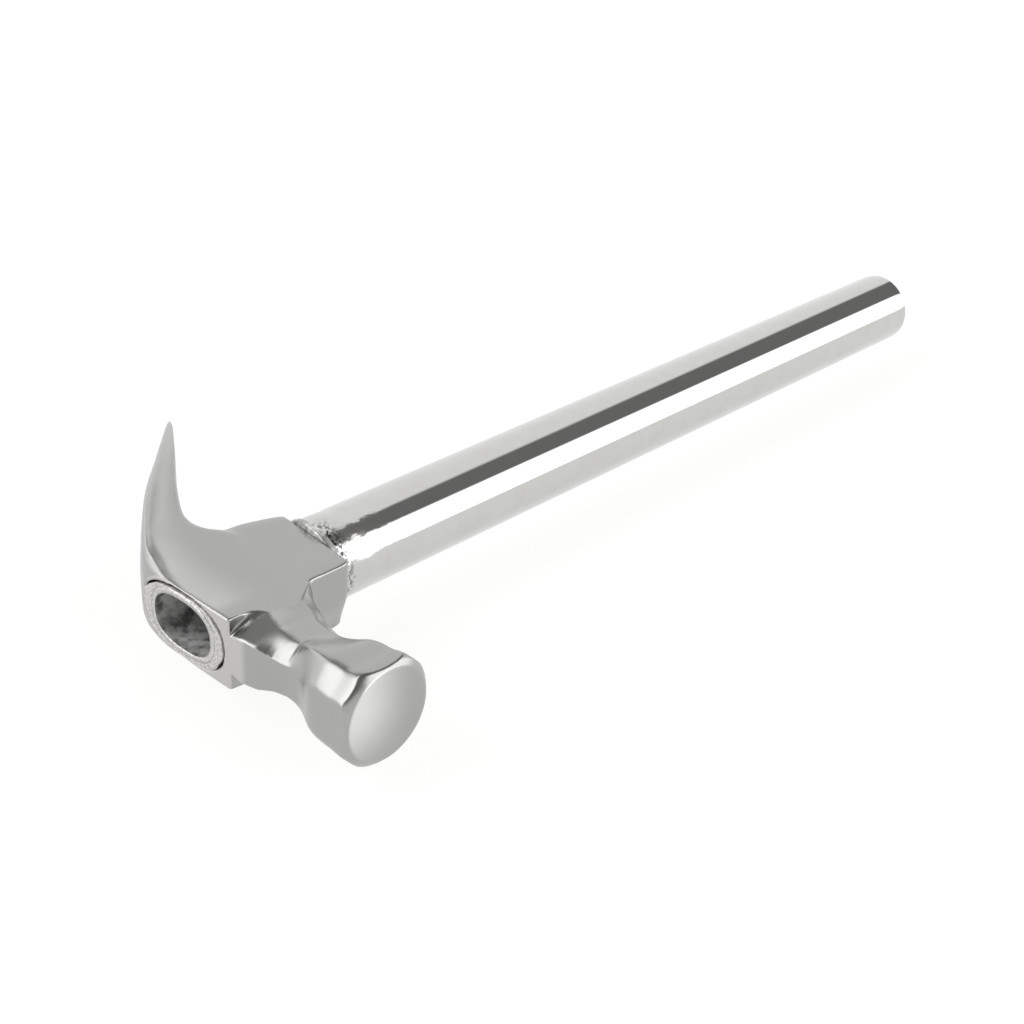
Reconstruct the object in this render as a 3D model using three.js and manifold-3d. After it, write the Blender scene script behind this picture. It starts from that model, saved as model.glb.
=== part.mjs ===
// Curved claw hammer with a forged steel head on a round tube handle.
// Working frame, millimetres: x runs from the ground top of the head down the handle,
// y runs from the striking face to the claw and z runs across the cheeks.
// y = z = 0 is the handle's axis, and x = 0 is the ground top of the head.
import * as THREE from "three";
import { mergeVertices } from "three/addons/utils/BufferGeometryUtils.js";
import Module from "manifold-3d";

const wasm = await Module();
wasm.setup();

// Driving sizes.
const overallLength = 334;
const tubeDiameter = 25.4;
const tubeWall = 1.6;
const tubeEdgeRound = 0.4;
const headThickness = 21.6;
const skirtLength = 46;
const skirtEndCurve = 2.3;
const skirtFront = 19.6;
const skirtBack = 20;
const skirtFrontRound = 0.9;
const skirtBackRound = 6.2;
const skirtEndRound = 1.6;
const faceReach = 66.3;
const bellAcrossFlats = 26.5;
const bellFacetWidth = 14;
const bellAxisDepth = 12.2;
const waistAcrossFlats = 18.8;
const waistFacetWidth = 8.8;
const waistAxisDepth = 12.6;
const waistReach = 38.6;
const rootReach = 20.2;
const rootDepth = 27.6;
const rootEdgeRound = 0.35;
const bellEdgeRound = 1.4;
const faceDiameter = 24.6;
const faceBevelWidth = 1.6;
const faceBevelDepth = 1.15;
const rimBevelDepth = 2.3;
const clawReach = 66.4;
const clawDrop = 47.6;
const clawSpread = 38.565;
const clawEdgeRound = 4;
const clawSideBow = 0.7;
const slotTipWidth = 11.4;
const slotEndWidth = 2.6;
const slotBevel = 1.7;
const eyeOffset = 1;
const eyeHalfLength = 17;
const eyeSideWall = 0.7;
const ringDepth = 6;
const ringWidth = 3.3;
const ringSideWidth = 0.5;
const shoulderLength = 5.4;
const weldLength = 3.3;
const weldStandOut = 1.1;
const weldLip = 0.5;

// Clearance between pieces that sit in or on one another, and the overrun of every cut.
const fitClearance = 0.25;
const overrun = 4;

// Worked out from the sizes above.
const cheek = headThickness / 2;
const tubeRadius = tubeDiameter / 2;
const mouth = { y: eyeHalfLength, z: cheek - eyeSideWall };
const ringOuter = { y: mouth.y - fitClearance, z: mouth.z - fitClearance };
const ringInner = { y: ringOuter.y - ringWidth, z: ringOuter.z - ringSideWidth };
const tenon = { y: ringInner.y - fitClearance, z: ringInner.z - fitClearance };

// Shapes without a unit.
const skirtRakeShare = 0.1;
const endCurvePower = 3;
const ovalPower = 2.5;
const roundPower = 2;
const ovalSides = 56;
const cornerSteps = 4;
const rowSteps = 2;
const slotRows = 9;
const faceShares = [0.92, 0.82, 0.7, 0.55];
const widestShare = 0.45;
const bowFullShare = 0.35;
const cornerLimitShare = 0.45;

const steel = { color: 0xb4b3b0, roughness: 0.34, metalness: 1 };
const materials = {
  claw_head: new THREE.MeshStandardMaterial(steel),
  tube_handle: new THREE.MeshStandardMaterial({ color: 0xd6d8db, roughness: 0.12, metalness: 1 }),
  eye_ring: new THREE.MeshStandardMaterial({ color: 0xbdbbb6, roughness: 0.42, metalness: 1 }),
  shoulder_weld: new THREE.MeshStandardMaterial({ color: 0xc4c2bc, roughness: 0.38, metalness: 1 }),
};

// A closed convex outline whose corners are rounded over a reach along each of their sides;
// every corner gives the same number of points.
function roundedOutline(corners) {
  return corners.flatMap(({ point, before, after }, index) => {
    const toBefore = corners.at(index - 1).point.clone().sub(point);
    const toAfter = corners[(index + 1) % corners.length].point.clone().sub(point);
    const start = Math.min(before, cornerLimitShare * toBefore.length());
    const end = Math.min(after, cornerLimitShare * toAfter.length());
    return new THREE.QuadraticBezierCurve(
      point.clone().add(toBefore.setLength(start)),
      point,
      point.clone().add(toAfter.setLength(end)),
    ).getPoints(cornerSteps);
  });
}

function corner(u, v, before, after = before) {
  return { point: new THREE.Vector2(u, v), before, after };
}

// The corners given, followed by their mirror images across the first axis.
function withMirrorImage(corners) {
  const mirrored = corners.toReversed().map(({ point, before, after }) => {
    return corner(point.x, -point.y, after, before);
  });
  return [...corners, ...mirrored];
}

// A table's rows with further rows between them, all on one smooth curve.
function smoothRows(rows) {
  const places = rows.map((_, index) => index);
  const curve = new THREE.CubicInterpolant(places, rows.flat(), rows[0].length);
  const steps = (rows.length - 1) * rowSteps;
  return Array.from({ length: steps + 1 }, (_, step) => [...curve.evaluate(step / rowSteps)]);
}

// A full oval between an ellipse (power 2) and a rounded rectangle (higher powers).
function ovalOutline(half, power) {
  const signed = (value) => Math.sign(value) * Math.abs(value) ** (2 / power);
  return Array.from({ length: ovalSides }, (_, step) => {
    const angle = (2 * Math.PI * step) / ovalSides;
    return new THREE.Vector2(half.y * signed(Math.cos(angle)), half.z * signed(Math.sin(angle)));
  });
}

// A closed skin through rings of equally many points, with flat ends and outward faces.
function loft(rings) {
  const count = rings[0].length;
  const points = rings.flat();
  const faces = [];
  for (let ring = 0; ring < rings.length - 1; ring += 1) {
    for (let side = 0; side < count; side += 1) {
      const here = ring * count + side;
      const next = ring * count + ((side + 1) % count);
      faces.push([here, next, next + count], [here, next + count, here + count]);
    }
  }
  for (const ring of [0, rings.length - 1]) {
    const centre = new THREE.Vector3();
    rings[ring].forEach((point) => centre.add(point));
    points.push(centre.divideScalar(count));
    for (let side = 0; side < count; side += 1) {
      const here = ring * count + side;
      const next = ring * count + ((side + 1) % count);
      faces.push(ring === 0 ? [next, here, points.length - 1] : [here, next, points.length - 1]);
    }
  }
  const volume = faces.reduce((sum, [a, b, c]) => {
    return sum + points[a].dot(points[b].clone().cross(points[c]));
  }, 0);
  const outward = volume > 0 ? faces : faces.map(([a, b, c]) => [a, c, b]);
  const geometry = new THREE.BufferGeometry().setFromPoints(points);
  geometry.setIndex(outward.flat());
  return geometry;
}

function solidOf(geometry) {
  const bare = geometry.clone();
  bare.deleteAttribute("normal");
  bare.deleteAttribute("uv");
  const welded = mergeVertices(bare);
  return new wasm.Manifold(new wasm.Mesh({
    numProp: 3,
    vertProperties: new Float32Array(welded.attributes.position.array),
    triVerts: new Uint32Array(welded.index.array),
  }));
}

function geometryOf(solid) {
  const mesh = solid.getMesh();
  const geometry = new THREE.BufferGeometry();
  geometry.setAttribute("position", new THREE.BufferAttribute(mesh.vertProperties, mesh.numProp));
  geometry.setIndex(new THREE.BufferAttribute(mesh.triVerts, 1));
  geometry.computeVertexNormals();
  return geometry;
}

// A box whose faces lie exactly on the given bounds.
function boxBetween(low, high) {
  const rings = [low.x, high.x].map((x) => [
    new THREE.Vector3(x, low.y, low.z),
    new THREE.Vector3(x, high.y, low.z),
    new THREE.Vector3(x, high.y, high.z),
    new THREE.Vector3(x, low.y, high.z),
  ]);
  return solidOf(loft(rings));
}

// Half of the neck's or bell's octagon as [depth, height] corners, from the top of the head down.
function octagonCorners(axisDepth, acrossFlats, facetWidth) {
  const flat = acrossFlats / 2;
  const facet = facetWidth / 2;
  return [
    [axisDepth - flat, facet],
    [axisDepth - facet, flat],
    [axisDepth + facet, flat],
    [axisDepth + flat, facet],
  ];
}

// One ring of the neck: four corners above the centre plane and their mirror images below it.
function neckRing(reach, half, edgeRound) {
  const corners = half.map(([depth, height]) => corner(depth, height, edgeRound));
  return roundedOutline(withMirrorImage(corners))
    .map((flat) => new THREE.Vector3(flat.x, -reach, flat.y));
}

// The neck's root. Each row is a reach between the waist (0) and the block (1), then where the
// four corners lie: depths as shares of the root's depth, heights as shares of the cheek's height.
const rootShares = [
  [0.0, 0.115, 0.41, 0.294, 0.87, 0.62, 0.87, 0.795, 0.41],
  [0.25, 0.09, 0.46, 0.301, 0.865, 0.641, 0.865, 0.822, 0.46],
  [0.41, 0.058, 0.54, 0.318, 0.89, 0.665, 0.89, 0.855, 0.53],
  [0.52, 0.036, 0.585, 0.337, 0.93, 0.688, 0.93, 0.88, 0.57],
  [0.63, 0.022, 0.605, 0.356, 0.965, 0.703, 0.965, 0.905, 0.59],
  [0.72, 0.01, 0.61, 0.373, 1.0, 0.706, 1.0, 0.925, 0.6],
  [0.864, 0.008, 0.545, 0.29, 1.06, 0.83, 1.06, 0.965, 0.6],
  [0.951, 0.006, 0.53, 0.146, 1.06, 0.93, 1.06, 0.985, 0.6],
  [1.0, 0.004, 0.52, 0.016, 1.06, 0.98, 1.06, 1.0, 0.6],
];

// The same corners where the neck sinks into the block, at shares of the root's reach.
const buriedShares = [
  [0.5, 0.15, 0.45, 0.2, 0.9, 0.8, 0.9, 0.85, 0.5],
  [0.8, 0.004, 0.52, 0.016, 1.06, 0.98, 1.06, 1.0, 0.6],
];

// How far each of the four corners has moved from the waist to the bell, at shares of the way.
const bellShares = [
  [0.05, 0.0, 0.2, 0.01, 0.0],
  [0.16, 0.05, 0.53, 0.06, 0.05],
  [0.23, 0.18, 0.7, 0.16, 0.18],
  [0.3, 0.37, 0.81, 0.31, 0.37],
  [0.375, 0.6, 0.88, 0.5, 0.6],
  [0.445, 0.77, 0.94, 0.72, 0.77],
  [0.52, 0.87, 1.0, 0.9, 0.87],
  [0.63, 0.94, 1.01, 1.0, 0.94],
  [0.77, 0.98, 1.0, 1.0, 0.98],
  [1.0, 1.0, 1.0, 1.0, 1.0],
];

function rootCorners(shares) {
  const half = [];
  for (let column = 0; column < shares.length; column += 2) {
    half.push([shares[column] * rootDepth, shares[column + 1] * cheek]);
  }
  return half;
}

function bellCorners(shares) {
  const waist = octagonCorners(waistAxisDepth, waistAcrossFlats, waistFacetWidth);
  const bell = octagonCorners(bellAxisDepth, bellAcrossFlats, bellFacetWidth);
  return waist.map(([depth, height], index) => [
    THREE.MathUtils.lerp(depth, bell[index][0], shares[index]),
    THREE.MathUtils.lerp(height, bell[index][1], shares[index]),
  ]);
}

// The neck from inside the block to the striking face, before the face is turned.
function neckSolid() {
  const buried = buriedShares.map(([share, ...shares]) => neckRing(
    rootReach * share,
    rootCorners(shares),
    rootEdgeRound,
  ));
  const root = smoothRows(rootShares.toReversed()).map(([share, ...shares]) => neckRing(
    THREE.MathUtils.lerp(waistReach, rootReach, share),
    rootCorners(shares),
    rootEdgeRound,
  ));
  const bell = smoothRows(bellShares).map(([share, ...shares]) => neckRing(
    THREE.MathUtils.lerp(waistReach, faceReach, share),
    bellCorners(shares),
    THREE.MathUtils.lerp(rootEdgeRound, bellEdgeRound, shares[0]),
  ));
  return solidOf(loft([...buried, ...root, ...bell]));
}

// Everything that the turned and bevelled striking face leaves standing.
function faceTurning() {
  const disc = faceDiameter / 2;
  const rim = disc + faceBevelWidth;
  const clear = bellAcrossFlats;
  const bevelEnd = faceReach - faceBevelDepth;
  const profile = [
    [0, -overrun],
    [clear, -overrun],
    [clear, bevelEnd - overrun],
    [rim + faceBevelWidth, bevelEnd - rimBevelDepth],
    [rim, bevelEnd],
    [disc, faceReach],
    [0, faceReach],
  ];
  const points = profile.map(([radius, reach]) => new THREE.Vector2(radius, reach));
  const turned = new THREE.LatheGeometry(points, ovalSides);
  turned.rotateZ(Math.PI);
  turned.translate(bellAxisDepth, 0, 0);
  return solidOf(turned);
}

// The socket around the handle: a rounded block whose end is raked and rounded at the front.
// Each row is a place along it, where its back lies, and how far its front has drawn in.
const skirtShares = [
  [0.08, 0.9, 0.0],
  [0.3, 1.0, 0.0],
  [0.55, 1.0, 0.0],
  [0.72, 0.96, 0.0],
  [0.85, 0.88, 0.0],
  [0.93, 0.82, 0.06],
  [0.975, 0.775, 0.3],
  [0.993, 0.75, 0.65],
  [1.0, 0.735, 1.0],
];

// How far a point of the skirt's leaning, curved end lies beyond its middle.
function endLean(y, z) {
  return skirtRakeShare * y - skirtEndCurve * (z / cheek) ** 2;
}

// Smaller copies of an outline on the skirt's curved end surface, from the edge inwards.
function leanedFace(outline, depth) {
  return faceShares.map((share) => outline.map((flat) => new THREE.Vector3(
    depth + endLean(flat.x * share, flat.y * share), flat.x * share, flat.y * share,
  )));
}

function skirtSolid() {
  const rings = smoothRows(skirtShares).map(([share, backShare, drawn]) => {
    const front = -skirtFront + skirtEndRound * drawn;
    const back = skirtBack * backShare;
    const outline = roundedOutline(withMirrorImage([
      corner(front, cheek, skirtFrontRound),
      corner(back, cheek, skirtBackRound),
    ]));
    return outline.map((flat) => new THREE.Vector3(
      skirtLength * share + endLean(flat.x, flat.y) * share ** endCurvePower, flat.x, flat.y,
    ));
  });
  const edge = rings.at(-1).map((point) => new THREE.Vector2(point.y, point.z));
  return solidOf(loft([...rings, ...leanedFace(edge, skirtLength)]));
}

// Crown and claws. Each row: the crown's depth and reach, then the hollow side's, as shares of
// the claw's drop and reach; how far the width has grown from the cheeks to the tips; and, as
// shares of the edge round, how far the crown's edges are rounded across and down, and the hollow's.
const clawShares = [
  [-0.004, -0.3, 0.55, -0.3, 0.0, 0.05, 0.05, 0.15],
  [-0.004, -0.17, 0.55, -0.17, 0.0, 0.1, 0.1, 0.15],
  [-0.004, -0.09, 0.55, -0.09, 0.0, 0.15, 0.2, 0.15],
  [-0.004, 0.0, 0.55, 0.0, 0.0, 0.3, 0.45, 0.2],
  [-0.004, 0.07, 0.56, 0.08, 0.04, 0.48, 0.65, 0.3],
  [-0.004, 0.135, 0.6, 0.17, 0.12, 1.1, 0.95, 0.5],
  [0.0, 0.2, 0.585, 0.235, 0.2, 2.1, 1.3, 0.8],
  [0.024, 0.262, 0.53, 0.275, 0.27, 2.7, 1.35, 1.0],
  [0.071, 0.322, 0.497, 0.32, 0.335, 2.3, 1.2, 1.05],
  [0.145, 0.39, 0.482, 0.37, 0.4, 1.7, 0.95, 1.0],
  [0.232, 0.467, 0.494, 0.425, 0.49, 1.2, 0.75, 0.9],
  [0.338, 0.558, 0.538, 0.49, 0.6, 0.85, 0.6, 0.7],
  [0.436, 0.635, 0.6, 0.565, 0.7, 0.6, 0.5, 0.55],
  [0.54, 0.705, 0.674, 0.645, 0.79, 0.45, 0.4, 0.42],
  [0.7, 0.807, 0.792, 0.76, 0.9, 0.3, 0.3, 0.32],
  [0.86, 0.916, 0.908, 0.88, 0.97, 0.2, 0.2, 0.2],
  [0.96, 0.982, 0.976, 0.952, 1.0, 0.12, 0.12, 0.12],
  [0.996, 1.0, 1.0, 0.985, 0.965, 0.06, 0.06, 0.06],
];

// Frame of one row of the claw table: the crown and hollow points, and the half width there.
function clawStation(row) {
  const [crownX, crownY, hollowX, hollowY, grown, ...rounds] = row;
  const [crownAcross, crownDown, hollowEdge] = rounds.map((share) => share * clawEdgeRound);
  return {
    crown: new THREE.Vector3(crownX * clawDrop, crownY * clawReach, 0),
    hollow: new THREE.Vector3(hollowX * clawDrop, hollowY * clawReach, 0),
    halfWidth: THREE.MathUtils.lerp(cheek, clawSpread / 2, grown),
    bow: clawSideBow * Math.min(1, grown / bowFullShare),
    crownAcross,
    crownDown,
    hollowEdge,
  };
}

function acrossStation(station, along, height) {
  const point = station.crown.clone().lerp(station.hollow, along);
  point.z = height;
  return point;
}

function clawRing(station) {
  const { halfWidth, bow, crownAcross, crownDown, hollowEdge } = station;
  const depth = station.crown.distanceTo(station.hollow);
  const half = [
    corner(0, halfWidth - bow, crownAcross, crownDown),
    corner(depth * widestShare, halfWidth, depth),
    corner(depth, halfWidth - bow, hollowEdge),
  ];
  return roundedOutline(withMirrorImage(half))
    .map((flat) => acrossStation(station, flat.x / depth, flat.y));
}

function clawSolid() {
  return solidOf(loft(smoothRows(clawShares).map((row) => clawRing(clawStation(row)))));
}

// The V-shaped nail slot, wider on the crown than in the hollow of the claw.
function slotSolid() {
  const stations = smoothRows(clawShares.slice(-slotRows)).map(clawStation);
  const rings = stations.map((station, index) => {
    const open = index / (stations.length - 1);
    const narrow = THREE.MathUtils.lerp(slotEndWidth, slotTipWidth, open) / 2;
    const out = overrun / station.crown.distanceTo(station.hollow);
    const lean = Math.min(slotBevel * out, narrow / 2);
    return [
      acrossStation(station, -out, narrow + slotBevel + lean),
      acrossStation(station, 1 + out, narrow - lean),
      acrossStation(station, 1 + out, lean - narrow),
      acrossStation(station, -out, -narrow - slotBevel - lean),
    ];
  });
  const onward = stations.at(-1).crown.clone().sub(stations.at(-2).crown).setLength(overrun);
  rings.push(rings.at(-1).map((point) => point.clone().add(onward)));
  return solidOf(loft(rings));
}

// An oval across the handle's axis; a lean of 1 shapes it like the skirt's end.
function ovalRing(depth, centreY, half, power, lean) {
  return ovalOutline(half, power).map((flat) => new THREE.Vector3(
    depth + lean * endLean(flat.x, flat.y), centreY + flat.x, flat.y,
  ));
}

// The eye: a shallow wide mouth for the ring and a throat that follows the tenon.
function eyeSolid() {
  const throat = { y: tenon.y + fitClearance, z: tenon.z + fitClearance };
  const floor = ringDepth + fitClearance;
  const mouthCut = loft([
    ovalRing(-overrun, -eyeOffset, mouth, ovalPower, 0),
    ovalRing(floor, -eyeOffset, mouth, ovalPower, 0),
  ]);
  const throatCut = loft([
    ovalRing(0, -eyeOffset, throat, ovalPower, 0),
    ovalRing(skirtLength + overrun, 0, throat, ovalPower, 1),
  ]);
  return solidOf(mouthCut).add(solidOf(throatCut));
}

function headSolid() {
  const farX = clawDrop + overrun;
  const side = clawSpread / 2 + overrun;
  const above = boxBetween(
    new THREE.Vector3(-overrun, -waistReach, cheek),
    new THREE.Vector3(farX, 0, side),
  );
  const below = boxBetween(
    new THREE.Vector3(-overrun, -waistReach, -side),
    new THREE.Vector3(farX, 0, -cheek),
  );
  const top = boxBetween(
    new THREE.Vector3(-overrun, -waistReach, -side),
    new THREE.Vector3(0, clawReach, side),
  );
  return neckSolid()
    .intersect(faceTurning())
    .add(skirtSolid())
    .add(clawSolid())
    .subtract(above)
    .subtract(below)
    .subtract(top)
    .subtract(slotSolid())
    .subtract(eyeSolid());
}

// How the shoulder swells from the tenon to the tube along its length.
const shoulderShares = [
  [0.0, 0.0],
  [0.25, 0.35],
  [0.5, 0.72],
  [0.75, 0.93],
  [1.0, 1.0],
];

// The weld bead's rows: a place along it, how far it stands out, and its roundness.
const weldShares = [
  [0.0, 0.6, 2.2],
  [0.25, 0.95, 2.15],
  [0.6, 1.0, 2.1],
  [1.0, 0.5, 2.0],
];

// The handle's skin, grown outwards by a margin: an oval tenon through the eye, a shoulder
// that swells to the round tube where the head ends, and the tube to its rounded edge.
function handleRings(margin) {
  const shoulderStart = skirtLength + fitClearance;
  const round = tubeRadius + margin;
  const swell = (share) => ({
    y: THREE.MathUtils.lerp(tenon.y, tubeRadius, share) + margin,
    z: THREE.MathUtils.lerp(tenon.z, tubeRadius, share) + margin,
  });
  const shoulder = shoulderShares.map(([share, swollen]) => ovalRing(
    shoulderStart + shoulderLength * share,
    0,
    swell(swollen),
    THREE.MathUtils.lerp(ovalPower, roundPower, swollen),
    1 - share,
  ));
  const butt = overallLength - tubeEdgeRound;
  return [
    ovalRing(0, -eyeOffset, swell(0), ovalPower, 0),
    ...shoulder,
    ovalRing(butt, 0, { y: round, z: round }, roundPower, 0),
    ovalRing(overallLength, 0, { y: round - tubeEdgeRound, z: round - tubeEdgeRound }, roundPower, 0),
  ];
}

function handleSolid() {
  const bore = handleRings(-tubeWall).slice(0, -1);
  const entry = bore[0].map((point) => point.clone().setX(-overrun));
  const exit = bore.at(-1).map((point) => point.clone().setX(overallLength + overrun));
  return solidOf(loft(handleRings(0))).subtract(solidOf(loft([entry, ...bore, exit])));
}

// The collar that fills the eye's mouth round the tenon, ground flush with the top.
function ringSolid() {
  const outside = loft([
    ovalRing(0, -eyeOffset, ringOuter, ovalPower, 0),
    ovalRing(ringDepth, -eyeOffset, ringOuter, ovalPower, 0),
  ]);
  const inside = loft([
    ovalRing(-overrun, -eyeOffset, ringInner, ovalPower, 0),
    ovalRing(ringDepth + overrun, -eyeOffset, ringInner, ovalPower, 0),
  ]);
  return solidOf(outside).subtract(solidOf(inside));
}

// The weld bead round the shoulder, between the head's end and the tube's full roundness.
function weldSolid() {
  const start = skirtLength + fitClearance;
  const rings = weldShares.map(([share, raised, power]) => ovalRing(
    start + weldLength * share,
    0,
    { y: tenon.y + weldStandOut * raised, z: tubeRadius + weldLip * raised },
    power,
    1,
  ));
  const edge = rings[0].map((point) => new THREE.Vector2(point.y, point.z));
  const inner = leanedFace(edge, start).toReversed();
  return solidOf(loft([...inner, ...rings])).subtract(solidOf(loft(handleRings(fitClearance))));
}

const makers = {
  claw_head: headSolid,
  tube_handle: handleSolid,
  eye_ring: ringSolid,
  shoulder_weld: weldSolid,
};

const hammer = new THREE.Group();
for (const [name, make] of Object.entries(makers)) {
  const mesh = new THREE.Mesh(geometryOf(make()), materials[name]);
  mesh.name = name;
  hammer.add(mesh);
}

// The hammer lies on its side: the origin is under the middle of its bounding box.
const bounds = new THREE.Box3().setFromObject(hammer);
const middle = bounds.getCenter(new THREE.Vector3());
hammer.position.set(-middle.x, -middle.y, -bounds.min.z);

export default hammer;
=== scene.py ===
"""Looks of a curved claw hammer: a satin forged head on a bright plated steel tube."""

import logging
import math
from dataclasses import dataclass, field
from enum import Enum
from typing import Any

import bmesh
import bpy
from mathutils import Matrix, Vector, kdtree, noise

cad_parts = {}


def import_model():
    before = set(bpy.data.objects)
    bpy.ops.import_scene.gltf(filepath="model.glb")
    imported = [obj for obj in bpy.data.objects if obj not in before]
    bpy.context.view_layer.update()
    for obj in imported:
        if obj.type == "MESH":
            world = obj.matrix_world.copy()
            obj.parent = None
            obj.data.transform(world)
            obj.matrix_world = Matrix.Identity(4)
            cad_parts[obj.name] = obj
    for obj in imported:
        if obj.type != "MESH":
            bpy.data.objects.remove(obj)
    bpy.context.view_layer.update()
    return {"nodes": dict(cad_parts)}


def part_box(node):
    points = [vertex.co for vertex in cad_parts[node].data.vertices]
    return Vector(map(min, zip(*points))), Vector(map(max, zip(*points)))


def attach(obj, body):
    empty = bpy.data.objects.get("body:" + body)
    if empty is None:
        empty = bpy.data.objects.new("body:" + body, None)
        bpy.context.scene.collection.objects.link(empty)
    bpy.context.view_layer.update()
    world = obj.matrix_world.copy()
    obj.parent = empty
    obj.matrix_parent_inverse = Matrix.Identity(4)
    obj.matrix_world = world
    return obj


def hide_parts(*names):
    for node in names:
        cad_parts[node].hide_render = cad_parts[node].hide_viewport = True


MM = 0.001
MERGE_M = 1e-6
LOG = logging.getLogger("hammer")


class Slot(Enum):
    """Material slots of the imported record."""

    FORGED = "forged_steel"
    TUBE = "chromed_tube"
    GROUND = "ground_steel"
    WELD = "weld_steel"


class Skin(Enum):
    """Which of the tube's finishes a face takes, by the order they are put on it."""

    PLATED = 0
    BORE = 1
    GROUND = 2


def linear(hex_colour: str) -> tuple[float, float, float, float]:
    """Turn an sRGB hex colour into the linear colour that a shader takes.

    Args:
        hex_colour: Six hex digits after a hash sign.

    Returns:
        Linear red, green, blue and an alpha of one.
    """
    parts = [int(hex_colour[i : i + 2], 16) / 255 for i in (1, 3, 5)]
    # The sRGB standard's own curve: a straight foot and a power above it.
    line = [p / 12.92 if p <= 0.04045 else ((p + 0.055) / 1.055) ** 2.4 for p in parts]
    return (line[0], line[1], line[2], 1.0)


def add_node(tree: Any, kind: str, links: dict[Any, Any] | None = None, **settings: Any) -> Any:
    """Add one node to a node tree, set it up and link its inputs.

    Args:
        tree: The node tree of a material or a world.
        kind: The node's type name after "ShaderNode".
        links: For each input, by name or number, an output socket or a plain value.
        settings: Attributes of the node itself.

    Returns:
        The new node.
    """
    made = tree.nodes.new("ShaderNode" + kind)
    for name, value in settings.items():
        setattr(made, name, value)
    for name, value in (links or {}).items():
        if isinstance(value, bpy.types.NodeSocket):
            tree.links.new(value, made.inputs[name])
        else:
            made.inputs[name].default_value = value
    return made


def empty_tree(owner: Any) -> Any:
    """Switch a material or a world to nodes.

    Args:
        owner: The material or the world.

    Returns:
        Its emptied node tree.
    """
    owner.use_nodes = True
    owner.node_tree.nodes.clear()
    return owner.node_tree


def region(tree: Any, *edges: tuple[Any, float, float]) -> Any:
    """Bound a region by eased edges and multiply them into one factor.

    Args:
        tree: The node tree of a material or a world.
        edges: For each edge, an output socket and its values where the factor is 0 and 1.

    Returns:
        The factor's output socket.
    """
    factor = None
    for place, start, end in edges:
        step = add_node(tree, "MapRange", {0: place, 1: start, 2: end},
                        interpolation_type="SMOOTHSTEP").outputs[0]
        factor = step if factor is None else add_node(
            tree, "Math", {0: factor, 1: step}, operation="MULTIPLY").outputs[0]
    return factor


def smoothstep(share: float) -> float:
    """Ease a share between zero and one at both ends."""
    share = min(1.0, max(0.0, share))
    return share * share * (3 - 2 * share)


def ramp(value: float, start: float, end: float) -> float:
    """Ease a value from zero at its start to one at its end."""
    return smoothstep((value - start) / (end - start))


@dataclass(frozen=True)
class Site:
    """Where the hammer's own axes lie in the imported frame: x down the handle, y to the claw."""

    origin: Vector

    def at(self, x: float, y: float, z: float) -> Vector:
        """Turn millimetres on the hammer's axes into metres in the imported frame."""
        return self.origin + Vector((x, y, z)) * MM


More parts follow.
